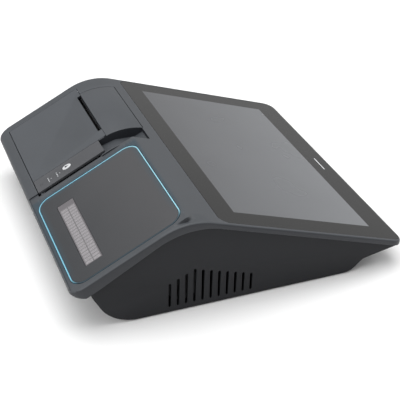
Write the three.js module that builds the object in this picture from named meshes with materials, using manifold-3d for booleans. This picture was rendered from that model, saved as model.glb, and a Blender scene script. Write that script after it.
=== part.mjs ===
// Desktop payment and point-of-sale terminal: a wedge-shaped housing with a wide touch screen on
// the operator's side, and a receipt printer, a contactless panel with a light ring and a two-line
// customer display on the rear slope.
//
// Millimetres. +X is the operator's right, -Y the operator's side, +Z up. The origin is at the
// centre of the footprint, on the surface that the terminal stands on.

import * as THREE from 'three';
import { mergeVertices } from 'three/addons/utils/BufferGeometryUtils.js';
import Module from 'manifold-3d';

const wasm = await Module();
wasm.setup();

// ---------------------------------------------------------------------------------------------
// Driving dimensions. Side-view places are (distance back from the front edge, height).

const GAP = 0.3;                    // clearance between neighbouring pieces
const WALL = 2.5;                   // wall of the moulded shells
const MERGE = 0.004;                // corners nearer to each other than this are one corner

const WIDTH = 303;
const HALF = WIDTH / 2;
const DEPTH = 314.6;
const FOOTPRINT_MIDDLE = 157.155;   // halfway between the rounded front and rear edges
const SCREEN_TILT = THREE.MathUtils.degToRad(18.2);
const REAR_SLOPE = THREE.MathUtils.degToRad(27.2);
const FRONT_Z = 26.2;               // height of the screen plane at the front edge
const RIDGE_Y = 213.6;              // where the screen plane and the rear plane would meet
const RIDGE_Z = FRONT_Z + RIDGE_Y * Math.tan(SCREEN_TILT);
const REAR_Z = RIDGE_Z - (DEPTH - RIDGE_Y) * Math.tan(REAR_SLOPE);
const RIDGE_R = 59;                 // rounding of the ridge
const PLAN_R = 12;                  // rounding of the corners seen from above
const BASE_Z = 1.2;                 // underside of the housing, above the feet's soles
const SEAM_RIDGE = [212.2, 90.4];   // the shells' seam line under the ridge
const SEAM_REAR = [290.7, 44.8];
const SEAM_R = 70;
const SIDE_DRAFT = 0.045;           // the lower housing widens upwards, per side
const BASE_HALF = 145.4;            // half width of the lower housing at its base

const GLASS = { half: 148.6, low: 0.9, high: 191.7, thick: 2 };
const LCD = { half: 134.6, low: 20, high: 178, thick: 3.2 };

const DECK_N = -1.2;                // the contactless deck lies below the rear plane
const DECK = { left: 147, right: -4.8, low: 1.6, stripSide: -9.1, stripEnd: 86 };
const RING = { left: 142.5, right: 4.8, low: 4.7, high: 112.6, radius: 13, wide: 1.2 };
const DISPLAY = { left: 126, right: 27, low: 20.8, high: 38 };

const LID = { near: 31, far: 140.3, low: 11.5, high: 94.3, thick: 2.4, skirt: 6 };
const SLOT = { near: 44.4, far: 123.2, low: 90.1 };      // notch in the lid's edge, for the paper
const STRIP = { near: 9.6, far: 30.7, high: 85.5 };
const HINGE = { s: 15.5, n: -3.8, pin: 1.1, barrel: 2.4 };
const COVER = { near: 30, far: 127, high: 94.7, front: 193.6, thick: 2.4 };
const SCOOP = { near: 5.2, far: 29.4, front: 194.2, back: 241.2, deep: 9, wall: 1.2 };
const BUTTON = { x: 21.6, s: 46.7, long: 9.2, wide: 6.6 };
const LENSES = [25.7, 35.2];        // places of the two signal lights up the slope

const ROLL = { y: 262, z: 31.4, radius: 22, core: 6.5, near: 44.3, far: 123.3 };
const BUCKET = { z: 36, radius: 27, wall: 1.6, near: 42.9, far: 124.7 };
const PLATEN = { s: 86, n: -10, radius: 5, shaft: 2 };
const GEARS = { module: 0.8, wide: 3, x: 37.4, platen: 16, idler: 24, pinion: 12, slack: 0.25 };
const MOTOR = { radius: 12, near: 18, far: 36 };

const VENTS = { count: 11, first: 227.8, pitch: 7.62, wide: 1.9, low: 7.8, peak: 3 };
const BOARD_Z = 12;
const SOCKET_FACE = 145.5;          // outer ends of the sockets, on the +X side

// ---------------------------------------------------------------------------------------------
// Outlines

// A closed outline from corners [a, b, radius], with each radius as an arc.
function outline(corners, step = 12) {
  const points = [];
  corners.forEach((corner, i) => {
    const at = new THREE.Vector2(corner[0], corner[1]);
    const radius = corner[2] ?? 0;
    if (radius === 0) {
      points.push(at);
      return;
    }
    const before = corners[(i + corners.length - 1) % corners.length];
    const after = corners[(i + 1) % corners.length];
    const back = new THREE.Vector2(before[0], before[1]).sub(at).normalize();
    const on = new THREE.Vector2(after[0], after[1]).sub(at).normalize();
    const half = Math.acos(THREE.MathUtils.clamp(back.dot(on), -1, 1)) / 2;
    const middle = back.clone().add(on).normalize();
    const centre = at.clone().addScaledVector(middle, radius / Math.sin(half));
    const start = at.clone().addScaledVector(back, radius / Math.tan(half)).sub(centre);
    const end = at.clone().addScaledVector(on, radius / Math.tan(half)).sub(centre);
    const first = start.angle();
    let turn = end.angle() - first;
    turn -= 2 * Math.PI * Math.round(turn / (2 * Math.PI));
    const steps = Math.max(2, Math.ceil(Math.abs(THREE.MathUtils.radToDeg(turn)) / step));
    for (let k = 0; k <= steps; k += 1) {
      const angle = first + (turn * k) / steps;
      const arm = new THREE.Vector2(Math.cos(angle), Math.sin(angle));
      points.push(arm.multiplyScalar(radius).add(centre));
    }
  });
  return points;
}

function rectangle(left, low, right, high, radius = 0) {
  return outline([
    [left, low, radius],
    [right, low, radius],
    [right, high, radius],
    [left, high, radius],
  ], 18);
}

function circle(radius, sides = 16) {
  const turn = (2 * Math.PI) / sides;
  return Array.from({ length: sides }, (_, i) => (
    new THREE.Vector2(radius * Math.cos(i * turn), radius * Math.sin(i * turn))
  ));
}

// A spur gear's outline, with a tooth centred on the angle given.
function gearOutline(teeth, angle) {
  const pitch = (GEARS.module * teeth) / 2;
  const root = pitch - 1.2 * GEARS.module;
  const tip = pitch + 0.85 * GEARS.module;
  const turn = (2 * Math.PI) / teeth;
  const points = [];
  for (let i = 0; i < teeth; i += 1) {
    for (const [radius, share] of [[root, -0.36], [tip, -0.12], [tip, 0.12], [root, 0.36]]) {
      const at = angle + turn * (i + share);
      points.push(new THREE.Vector2(radius * Math.cos(at), radius * Math.sin(at)));
    }
  }
  return points;
}

// ---------------------------------------------------------------------------------------------
// Solids

function solid(geometry) {
  const bare = geometry.index ? geometry.toNonIndexed() : geometry.clone();
  bare.deleteAttribute('normal');
  bare.deleteAttribute('uv');
  const merged = mergeVertices(bare, 1e-4);
  return new wasm.Manifold(new wasm.Mesh({
    numProp: 3,
    vertProperties: new Float32Array(merged.attributes.position.array),
    triVerts: new Uint32Array(merged.index.array),
  }));
}

// Edges shorter than the tolerance are closed up, so that no face is thinner than that.
function meshGeometry(manifold) {
  const mesh = manifold.asOriginal().simplify(MERGE).getMesh();
  const geometry = new THREE.BufferGeometry();
  geometry.setAttribute('position', new THREE.BufferAttribute(mesh.vertProperties, 3));
  geometry.setIndex(new THREE.BufferAttribute(mesh.triVerts, 1));
  geometry.computeVertexNormals();
  return geometry;
}

function extrude(points, low, high, matrix = null, hole = null) {
  const shape = new THREE.Shape(points);
  if (hole) shape.holes.push(new THREE.Path(hole));
  const geometry = new THREE.ExtrudeGeometry(shape, { depth: high - low, bevelEnabled: false });
  geometry.translate(0, 0, low);
  if (matrix) geometry.applyMatrix4(matrix);
  return solid(geometry);
}

// An outline in (y, z) drawn out along X, in (x, z) along -Y, or in (x, y) along Z.
const ALONG_X = new THREE.Matrix4().makeBasis(
  new THREE.Vector3(0, 1, 0), new THREE.Vector3(0, 0, 1), new THREE.Vector3(1, 0, 0));
const ALONG_Y = new THREE.Matrix4().makeBasis(
  new THREE.Vector3(1, 0, 0), new THREE.Vector3(0, 0, 1), new THREE.Vector3(0, -1, 0));
const prismX = (points, low, high) => extrude(points, low, high, ALONG_X);
const prismY = (points, low, high) => extrude(points, -high, -low, ALONG_Y);
const prismZ = (points, low, high, hole = null) => extrude(points, low, high, null, hole);

function block(x0, x1, y0, y1, z0, z1) {
  const geometry = new THREE.BoxGeometry(x1 - x0, y1 - y0, z1 - z0);
  geometry.translate((x0 + x1) / 2, (y0 + y1) / 2, (z0 + z1) / 2);
  return solid(geometry);
}

function rodX(radius, x0, x1, y, z, sides = 16) {
  const points = circle(radius, sides).map((p) => p.add(new THREE.Vector2(y, z)));
  return prismX(points, x0, x1);
}

function rodZ(radius, z0, z1, x, y, sides = 16) {
  const points = circle(radius, sides).map((p) => p.add(new THREE.Vector2(x, y)));
  return prismZ(points, z0, z1);
}

// ---------------------------------------------------------------------------------------------
// Frames. The screen frame's y runs up the screen and its z out of it. The rear frame belongs to
// the customer's side: its x is the customer's right (the operator's left), y runs up the slope
// from its low edge and z out of it.

const screenMatrix = new THREE.Matrix4().makeBasis(
  new THREE.Vector3(1, 0, 0),
  new THREE.Vector3(0, Math.cos(SCREEN_TILT), Math.sin(SCREEN_TILT)),
  new THREE.Vector3(0, -Math.sin(SCREEN_TILT), Math.cos(SCREEN_TILT)),
).setPosition(0, 0, FRONT_Z);

const rearMatrix = new THREE.Matrix4().makeBasis(
  new THREE.Vector3(-1, 0, 0),
  new THREE.Vector3(0, -Math.cos(REAR_SLOPE), Math.sin(REAR_SLOPE)),
  new THREE.Vector3(0, Math.sin(REAR_SLOPE), Math.cos(REAR_SLOPE)),
).setPosition(0, DEPTH, REAR_Z);

function framed(matrix) {
  const group = new THREE.Group();
  matrix.decompose(group.position, group.quaternion, group.scale);
  return group;
}

const toChassis = (manifold, matrix) => manifold.transform(matrix.elements);
const toRear = (manifold) => manifold.transform(rearMatrix.clone().invert().elements);

// A point of the rear slope as (y, z) of the side view.
function rearPoint(s, n) {
  return new THREE.Vector3(0, s, n).applyMatrix4(rearMatrix);
}

function rearSide(s, n) {
  const { y, z } = rearPoint(s, n);
  return [y, z];
}

// ---------------------------------------------------------------------------------------------
// Materials

const finish = (color, roughness, metalness = 0) => ({ color, roughness, metalness });
const FINISH = {
  shell: finish(0x3a3c3f, 0.45),
  housing: finish(0x1d1e20, 0.5),
  gloss: finish(0x16171a, 0.12),
  lcd: finish(0x55575a, 0.2),
  light: finish(0x9fd4e6, 0.3),
  lens: finish(0xd8dcde, 0.3),
  rubber: finish(0x17181a, 0.85),
  steel: finish(0x8f9296, 0.35, 0.9),
  aluminium: finish(0xa9acb0, 0.4, 0.9),
  board: finish(0x1e5a3a, 0.55),
  inner: finish(0x26282a, 0.6),
  gear: finish(0xd9d4c6, 0.5),
  paper: finish(0xe9e7e0, 0.8),
  card: finish(0x9a7b55, 0.9),
};

const terminal = new THREE.Group();
const chassis = new THREE.Group();
chassis.position.set(0, -FOOTPRINT_MIDDLE, 0);
const screen = framed(screenMatrix);
const rear = framed(rearMatrix);
chassis.add(screen, rear);
terminal.add(chassis);

function part(group, name, manifold, look) {
  const mesh = new THREE.Mesh(meshGeometry(manifold), new THREE.MeshStandardMaterial(FINISH[look]));
  mesh.name = name;
  group.add(mesh);
  return mesh;
}

// ---------------------------------------------------------------------------------------------
// Shells

const planOutline = (inset) => rectangle(
  -HALF + inset, inset, HALF - inset, DEPTH - inset, PLAN_R - inset);

// The ridge's corner in the side view, for a surface sunk below the outer one.
function topLine(sink, ridgeRadius) {
  const rise = sink / Math.cos(SCREEN_TILT);
  const fall = sink / Math.cos(REAR_SLOPE);
  const a = Math.tan(SCREEN_TILT);
  const b = Math.tan(REAR_SLOPE);
  const y = (RIDGE_Z + b * RIDGE_Y - fall - FRONT_Z + rise) / (a + b);
  return [y, FRONT_Z - rise + a * y, ridgeRadius];
}

// The side view of all that lies under such a sunk surface.
function underSurface(sink) {
  const foot = topLine(sink, 0);
  return outline([
    [90, 0],
    [90, foot[1] - (foot[0] - 90) * Math.tan(SCREEN_TILT)],
    topLine(sink, RIDGE_R - sink),
    [DEPTH, REAR_Z - sink / Math.cos(REAR_SLOPE)],
    [DEPTH, 0],
  ], 5);
}

// A skin that follows the rounded ridge.
function ridgeStrip(near, far, thick, front, back) {
  return prismX(underSurface(0), near, far)
    .subtract(prismX(underSurface(thick), near - 1, far + 1))
    .intersect(block(near, far, front, back, 60, 100));
}

function topShell() {
  const band = outline([
    [0, FRONT_Z, 1.5],
    [RIDGE_Y, RIDGE_Z, RIDGE_R],
    [DEPTH, REAR_Z, 3],
    [DEPTH - 1.4, 40.2, 1.5],
    [301.5, 38.4],
    SEAM_REAR,
    [...SEAM_RIDGE, SEAM_R],
    [1.5, 21.1],
  ], 6);
  const innerRear = 303.5;
  const hollow = outline([
    [2.8, 23.6],
    topLine(WALL, RIDGE_R - WALL),
    [innerRear, REAR_Z + (DEPTH - innerRear) * Math.tan(REAR_SLOPE) - WALL / Math.cos(REAR_SLOPE)],
    [innerRear, 41.5],
    [285, 30],
    [2.8, 10],
  ], 9);
  let shell = prismX(band, -HALF, HALF)
    .intersect(prismZ(planOutline(0), 0, 120))
    .subtract(prismX(hollow, -HALF + WALL, HALF - WALL));

  // The deck of the contactless panel keeps its flat plane up to the ridge.
  const screenAt = (y, n) => [y, FRONT_Z + y * Math.tan(SCREEN_TILT) + n];
  const deckTop = outline([
    screenAt(190, 0),
    [...rearSide(114.8, DECK_N), 3],
    rearSide(DECK.low, DECK_N),
    rearSide(DECK.low, DECK_N - 4.8),
    rearSide(112, DECK_N - 4.8),
    screenAt(190, -5),
  ], 9);
  const sunk = block(DECK.stripSide, DECK.left + 0.8, DECK.low - 0.8, DECK.stripEnd, DECK_N, 8);
  shell = shell.subtract(toChassis(sunk, rearMatrix)).add(prismX(deckTop, -DECK.left, -DECK.right));

  // Pocket and window for the panel and the ring.
  const pocket = prismZ(rectangle(
    RING.right - RING.wide / 2 - GAP, RING.low - RING.wide / 2 - GAP,
    RING.left + RING.wide / 2 + GAP, RING.high + RING.wide / 2 + GAP, RING.radius), DECK_N - 2.5, 2);
  const window = block(8.5, 139, 8.4, 106, -20, 2);
  shell = shell.subtract(toChassis(pocket.add(window), rearMatrix));

  // Seat for the glass, and the window for the panel under it.
  const seat = block(-HALF + 1, HALF - 1, 2, 196, -4.6, -1);
  const glassPocket = prismZ(rectangle(
    -GLASS.half - GAP, GLASS.low - GAP, GLASS.half + GAP, GLASS.high + GAP, PLAN_R - 2), -2.4, 3);
  const glassWindow = block(-LCD.half - 1, LCD.half + 1, LCD.low - 1, LCD.high + 1, -20, 3);
  const barSlot = block(-12 - GAP, 12 + GAP, 12.9, 14.7, -6, 0);
  shell = shell.add(toChassis(seat, screenMatrix).intersect(prismZ(planOutline(1), 0, 120)))
    .subtract(toChassis(glassPocket.add(glassWindow).add(barSlot), screenMatrix));

  // Openings over the paper bay and the print head, and an undercut under the lip at the hinge.
  const bay = block(-LID.far - 0.4, -LID.near + 0.4, LID.low - 0.4, LID.high + 0.4, -12, 6)
    .add(block(-LID.near - 1, -SCOOP.near, LID.low - 0.4, DECK.stripEnd, -12, 6));
  const lipUndercut = prismX(outline([
    rearSide(LID.low - 0.4, -0.3),
    rearSide(LID.low - 2.4, -2.3),
    rearSide(LID.low - 2.4, -8),
    rearSide(LID.low + 4, -8),
    rearSide(LID.low + 4, -0.3),
  ]), SCOOP.near, LID.far + 0.4);
  const head = block(COVER.near - 0.4, COVER.far + 0.4, COVER.front - 0.4, 232, 70, 100);
  shell = shell.subtract(toChassis(bay, rearMatrix)).subtract(lipUndercut).subtract(head);

  // Finger recess beside the cutter cover: a tub under the skin, then its hollow.
  const recess = (grow) => prismX(outline([
    [SCOOP.front - grow, 97],
    [SCOOP.back + grow, 97],
    [SCOOP.back + grow, 85 - SCOOP.deep - grow],
    [222, 91 - SCOOP.deep - grow],
    [SCOOP.front + 8, 91 - SCOOP.deep - grow],
    [SCOOP.front - grow, 91 - SCOOP.deep + 4],
  ]), SCOOP.near - grow, SCOOP.far + grow);
  const underSkin = prismX(band, -HALF, HALF).add(prismX(hollow, -HALF, HALF));
  const underStrip = block(-LID.near - 1, DECK.stripSide, 70, DECK.stripEnd, -LID.thick - GAP, 9);
  const underCover = ridgeStrip(COVER.near - 0.4, COVER.far, COVER.thick + GAP, 180, 245);
  const tub = recess(SCOOP.wall).intersect(underSkin)
    .subtract(toChassis(sunk.add(underStrip), rearMatrix)).subtract(underCover);
  shell = shell.add(tub).subtract(recess(0));

  // Ears at the two ends of the bay take the hinge pins.
  const pivot = rearPoint(HINGE.s, HINGE.n);
  for (const [x0, x1] of [[STRIP.near - 5.5, STRIP.near - 1], [LID.far + 0.9, LID.far + 5.4]]) {
    const ear = block(x0, x1, pivot.y - 3.4, pivot.y + 3, pivot.z - 3.2, pivot.z + 1);
    shell = shell.add(ear);
  }
  return shell.subtract(rodX(HINGE.pin + GAP, STRIP.near - 5, LID.far + 4.9, pivot.y, pivot.z, 12));
}

const sideAt = (z, inset) => BASE_HALF - inset + SIDE_DRAFT * z;

function housingBody(inset, raise) {
  const floor = BASE_Z + inset;
  const side = outline([
    [2.2 + inset, 20.8 + raise],
    [2.2 + inset, 20.8 + (inset > 0 ? -0.9 + inset : 0)],
    [39.5 + inset * 0.4, 13.1 + inset, 6],
    [51.2 + inset * 0.4, floor, 7],
    [279.2 - inset * 0.6, floor, 38 - inset],
    [299.2 - inset, 39.4, 0],
    [299.2 - inset, 39.4 + raise, 0],
    [SEAM_REAR[0] - inset, SEAM_REAR[1] - GAP + raise],
    [SEAM_RIDGE[0], SEAM_RIDGE[1] - GAP + raise, SEAM_R],
  ], 8);
  const across = outline([
    [-sideAt(0, inset), 0],
    [sideAt(0, inset), 0],
    [sideAt(130, inset), 130],
    [-sideAt(130, inset), 130],
  ]);
  const edge = HALF - 2.5 - inset;
  const plan = rectangle(-edge, 1 + inset, edge, 301 - inset, 14 - inset);
  return prismX(side, -HALF, HALF)
    .intersect(prismY(across, 0, DEPTH))
    .intersect(prismZ(plan, 0, 130));
}

const COVER_PLATE = { half: 90, front: 84, back: 224, rim: 10, thick: 1.5 };
const SCREWS = [[-85, 89], [85, 89], [-85, 219], [85, 219]];
const POSTS = [[-104, 66], [104, 66], [-104, 190], [104, 190]];
const FOOT = { x: 126, front: 66, rear: 248, radius: 8, stem: 2.5 };
const SOCKETS = {
  power_inlet: { y: 74, wide: 14, tall: 12, holeWide: 8, holeTall: 8, round: true },
  usb_socket: { y: 96, wide: 15, tall: 8.4, holeWide: 12.4, holeTall: 5, round: false },
  network_socket: { y: 118, wide: 16, tall: 13.4, holeWide: 12, holeTall: 8.4, round: false },
  drawer_socket: { y: 140, wide: 13, tall: 12, holeWide: 9.6, holeTall: 6.6, round: false },
};
const SWITCH = { y: 52, z: 23, radius: 4.5 };
const SOCKET_FLOOR = BOARD_Z + 1.6 + GAP;

function lowerHousing() {
  let housing = housingBody(0, 0).subtract(housingBody(WALL, 20));
  const inside = block(-140, 140, 0, DEPTH, 0, 60);
  for (let i = 0; i < VENTS.count; i += 1) {
    const y = VENTS.first - VENTS.pitch * i;
    const high = i <= VENTS.peak ? 33 + 3.5 * i : 43.4 - 2.5 * (i - VENTS.peak);
    const slot = block(-HALF, HALF, y - VENTS.wide / 2, y + VENTS.wide / 2, VENTS.low, high);
    housing = housing.subtract(slot.subtract(inside));
  }
  const { half, front, back, rim } = COVER_PLATE;
  const recess = prismZ(rectangle(-half - GAP, front - GAP, half + GAP, back + GAP, 6), 0, BASE_Z + 1.8);
  const hatch = prismZ(rectangle(-half + rim, front + rim, half - rim, back - rim, 4), 0, 8);
  const screwBosses = SCREWS.map(([x, y]) => rodZ(3.4, 3, 8, x, y, 12));
  const boardPosts = POSTS.map(([x, y]) => rodZ(3.4, 3, BOARD_Z - GAP, x, y, 12));
  for (const post of [...screwBosses, ...boardPosts]) housing = housing.add(post);
  housing = housing.subtract(recess).subtract(hatch);
  for (const [x, y] of SCREWS) housing = housing.subtract(rodZ(1.5, 0, 10, x, y, 8));
  for (const x of [-FOOT.x, FOOT.x]) {
    for (const y of [FOOT.front, FOOT.rear]) {
      housing = housing.subtract(rodZ(FOOT.stem + GAP, 0, 8, x, y, 12));
    }
  }
  for (const socket of Object.values(SOCKETS)) {
    housing = housing.subtract(block(140, HALF, socket.y - socket.wide / 2 - GAP,
      socket.y + socket.wide / 2 + GAP, SOCKET_FLOOR - GAP, SOCKET_FLOOR + socket.tall + GAP));
  }
  return housing.subtract(rodX(SWITCH.radius + GAP, 130, HALF, SWITCH.y, SWITCH.z));
}

part(chassis, 'top_shell', topShell(), 'shell');
part(chassis, 'lower_housing', lowerHousing(), 'housing');

function bottomCover() {
  const { half, front, back, thick } = COVER_PLATE;
  let plate = prismZ(rectangle(-half, front, half, back, 5.7), BASE_Z, BASE_Z + thick);
  for (const [x, y] of SCREWS) {
    plate = plate.subtract(rodZ(3.1, 0, BASE_Z + 0.9, x, y, 12)).subtract(rodZ(1.5, 0, 9, x, y, 8));
  }
  return plate;
}
part(chassis, 'bottom_cover', bottomCover(), 'housing');

// Turned pieces are lathed about Z and then laid along their axis.
function turned(profile, sides = 16) {
  const geometry = new THREE.LatheGeometry(profile.map(([r, z]) => new THREE.Vector2(r, z)), sides);
  geometry.rotateX(Math.PI / 2);
  return solid(geometry);
}

const footProfile = [[0, 0], [6.6, 0], [FOOT.radius, 0.5], [FOOT.radius, BASE_Z - GAP / 2],
  [FOOT.stem, BASE_Z - GAP / 2], [FOOT.stem, 6], [0, 6]];
const feetAt = {
  foot_front_left: [-FOOT.x, FOOT.front],
  foot_front_right: [FOOT.x, FOOT.front],
  foot_rear_left: [-FOOT.x, FOOT.rear],
  foot_rear_right: [FOOT.x, FOOT.rear],
};
for (const [name, [x, y]] of Object.entries(feetAt)) {
  part(chassis, name, turned(footProfile, 20), 'rubber').position.set(x, y, 0);
}

const screwProfile = [[0, 0], [2.6, 0], [2.6, 0.6], [1.2, 0.6], [1.2, 5.4], [0, 5.4]];
SCREWS.forEach(([x, y], i) => {
  part(chassis, `cover_screw_${i + 1}`, turned(screwProfile, 10), 'steel').position.set(x, y, BASE_Z);
});

// ---------------------------------------------------------------------------------------------
// Screen

part(screen, 'touch_glass', prismZ(rectangle(
  -GLASS.half, GLASS.low, GLASS.half, GLASS.high, PLAN_R - 2.3), -0.1 - GLASS.thick, -0.1), 'gloss');
part(screen, 'lcd_panel', block(
  -LCD.half, LCD.half, LCD.low, LCD.high, -2.4 - LCD.thick, -2.4), 'lcd');
part(screen, 'status_light_bar', block(-12, 12, 13.2, 14.4, -3.9, -2.4), 'lens');

function lcdBracket() {
  const top = -2.4 - LCD.thick - GAP;
  let tray = block(-138, 138, 15, 183, top - 1.2, top);
  for (const x of [-92, 0, 92]) tray = tray.subtract(block(x - 32, x + 32, 40, 84, top - 3, top + 1));
  for (const x of [-92, 0, 92]) tray = tray.subtract(block(x - 32, x + 32, 112, 156, top - 3, top + 1));
  return tray;
}
part(screen, 'lcd_bracket', lcdBracket(), 'steel');

// ---------------------------------------------------------------------------------------------
// Contactless panel and customer display

const ringOutline = (grow) => rectangle(
  RING.right - grow, RING.low - grow, RING.left + grow, RING.high + grow, RING.radius + grow);

function contactlessPanel() {
  const { left, right, low, high } = DISPLAY;
  return prismZ(ringOutline(-RING.wide / 2 - GAP), DECK_N - 2.2, DECK_N)
    .subtract(block(right, left, low, high, DECK_N - 1.8, DECK_N + 1))
    .subtract(block(right + 1.5, left - 1.5, low + 1.2, high - 1.2, DECK_N - 4, DECK_N));
}
part(rear, 'contactless_panel', contactlessPanel(), 'gloss');
part(rear, 'light_ring', prismZ(ringOutline(RING.wide / 2 - 0.02), DECK_N - 2.2, DECK_N,
  ringOutline(-RING.wide / 2).reverse()), 'light');
part(rear, 'display_window', block(DISPLAY.right + GAP, DISPLAY.left - GAP,
  DISPLAY.low + GAP, DISPLAY.high - GAP, DECK_N - 1.5, DECK_N - 0.1), 'lens');
part(rear, 'character_display', block(24, 129, 17.6, 41.2, -13, DECK_N - 2.5), 'inner');
part(rear, 'ring_light_board', block(9.5, 138, 9.4, 105, -4.9, -3.7)
  .subtract(block(16, 131.5, 15.6, 98.8, -6, -3)), 'board');
part(rear, 'antenna_board', block(24, 124, 46, 93, -4.9, -3.7)
  .subtract(block(38, 110, 58, 81, -6, -3)), 'board');

// ---------------------------------------------------------------------------------------------
// Electronics

part(chassis, 'main_board', block(-110, 143, 60, 196, BOARD_Z, BOARD_Z + 1.6), 'board');

function heatSink() {
  const base = BOARD_Z + 1.6 + GAP;
  let sink = block(-28, 28, 112, 160, base, base + 3);
  for (let x = -28; x < 28; x += 7.8) {
    sink = sink.add(block(x, x + 1.4, 112, 160, base + 2, base + 12));
  }
  return sink;
}
part(chassis, 'heat_sink', heatSink(), 'aluminium');

const speakerProfile = [[0, 0], [9, 0], [9, 7], [15, 12], [16, 12], [16, 14], [13, 14], [5, 9], [0, 9]];
const speaker = part(chassis, 'speaker', turned(speakerProfile, 16), 'inner');
speaker.position.set(-128, 214, 25);
speaker.rotation.y = -Math.PI / 2;

for (const [name, socket] of Object.entries(SOCKETS)) {
  const { y, wide, tall, holeWide, holeTall, round } = socket;
  const middle = SOCKET_FLOOR + tall / 2;
  const hole = round
    ? rodX(holeWide / 2, SOCKET_FACE - 10, SOCKET_FACE + 1, y, middle)
    : block(SOCKET_FACE - 10, SOCKET_FACE + 1, y - holeWide / 2, y + holeWide / 2,
      middle - holeTall / 2, middle + holeTall / 2);
  const body = block(SOCKET_FACE - 14, SOCKET_FACE, y - wide / 2, y + wide / 2,
    SOCKET_FLOOR, SOCKET_FLOOR + tall);
  part(chassis, name, body.subtract(hole), 'inner');
}

part(chassis, 'power_switch', block(131, 139, 46.5, 57.5, 17.5, 28.5), 'inner');
part(chassis, 'power_button', rodX(SWITCH.radius, 143, 147.4, SWITCH.y, SWITCH.z, 20)
  .add(rodX(SWITCH.radius + 1.4, 141.4, 143.2, SWITCH.y, SWITCH.z, 20)), 'gloss');

// ---------------------------------------------------------------------------------------------
// Printer mechanism

const coverBack = rearPoint(COVER.high, 0).y;
part(chassis, 'cutter_cover', ridgeStrip(
  COVER.near, COVER.far, COVER.thick, COVER.front, coverBack), 'shell');

function tearBar() {
  const edge = coverBack + 0.6;
  const [first, last] = [44.8, 122.8];
  const teeth = [[first, edge - 5.5]];
  for (let x = first; x < last - 1; x += 2) teeth.push([x, edge - 1], [x + 1, edge]);
  teeth.push([last, edge - 1], [last, edge - 5.5]);
  return prismZ(outline(teeth), 83.2, 84.2);
}
part(chassis, 'tear_bar', tearBar(), 'steel');

const platenAt = rearPoint(PLATEN.s, PLATEN.n);
const hingeAt = rearPoint(HINGE.s, HINGE.n);

function printerFrame() {
  const cheek = outline([[198, 66], [229.6, 66], [229.6, 82.2], [218, 84.6], [204, 83.8], [198, 80]]);
  const cheeks = prismX(cheek, 41.4, 42.6).add(prismX(cheek, 125, 126.2));
  return cheeks
    .add(block(41.4, 126.2, 198, 222, 66, 67.2))
    .add(block(41.4, 126.2, 203, 221, 81.6, 82.6));
}
part(chassis, 'printer_frame', printerFrame(), 'steel');
const headFace = platenAt.y - PLATEN.radius - GAP;
part(chassis, 'thermal_head', block(44, 123.6, headFace - 3.2, headFace, 68.4, 80)
  .add(block(44, 123.6, headFace - 7.4, headFace - 3, 70, 78)), 'aluminium');
part(chassis, 'head_spring', prismX(outline([
  [206, 67.6], [216, 67.6], [220.6, 72], [220.6, 78],
  [219.9, 78], [219.9, 72.4], [215.6, 68.3], [206, 68.3],
]), 60, 108), 'steel');

// Gear train: the platen gear leaves its mesh straight along its path when the lid swings open.
const reach = (a, b) => (GEARS.module * (a + b)) / 2 + GEARS.slack;
const leave = new THREE.Vector2(hingeAt.z - platenAt.z, platenAt.y - hingeAt.y).normalize();
const towardIdler = Math.atan2(leave.y, leave.x);
const idlerAt = new THREE.Vector2(platenAt.y, platenAt.z)
  .addScaledVector(leave, reach(GEARS.platen, GEARS.idler));
const towardPinion = THREE.MathUtils.degToRad(186);
const pinionAt = new THREE.Vector2(Math.cos(towardPinion), Math.sin(towardPinion))
  .multiplyScalar(reach(GEARS.idler, GEARS.pinion)).add(idlerAt);
const idlerPitch = (2 * Math.PI) / GEARS.idler;
const idlerAngle = towardIdler + Math.PI + idlerPitch / 2;
const idlerOffset = ((idlerAngle - towardPinion) % idlerPitch + idlerPitch) % idlerPitch;
const pinionAngle = towardPinion + Math.PI
  - (GEARS.idler / GEARS.pinion) * idlerOffset + Math.PI / GEARS.pinion;

function gear(teeth, angle, y, z, bore) {
  const points = gearOutline(teeth, angle).map((p) => p.add(new THREE.Vector2(y, z)));
  return prismX(points, GEARS.x, GEARS.x + GEARS.wide)
    .subtract(rodX(bore, GEARS.x - 1, GEARS.x + 5, y, z, 12));
}
part(chassis, 'idler_gear', gear(GEARS.idler, idlerAngle, idlerAt.x, idlerAt.y, 2.3), 'gear');
part(chassis, 'motor_pinion', gear(GEARS.pinion, pinionAngle, pinionAt.x, pinionAt.y, 1.8), 'gear');
part(chassis, 'idler_axle', rodX(2, 35, 42.6, idlerAt.x, idlerAt.y, 12)
  .add(block(41.4, 42.6, idlerAt.x - 4, idlerAt.x + 3, idlerAt.y - 3, 65.6)), 'steel');
part(chassis, 'feed_motor', rodX(MOTOR.radius, MOTOR.near, MOTOR.far, pinionAt.x, pinionAt.y, 20)
  .add(rodX(1.5, MOTOR.far - 1, GEARS.x + GEARS.wide, pinionAt.x, pinionAt.y, 12)), 'steel');

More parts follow.
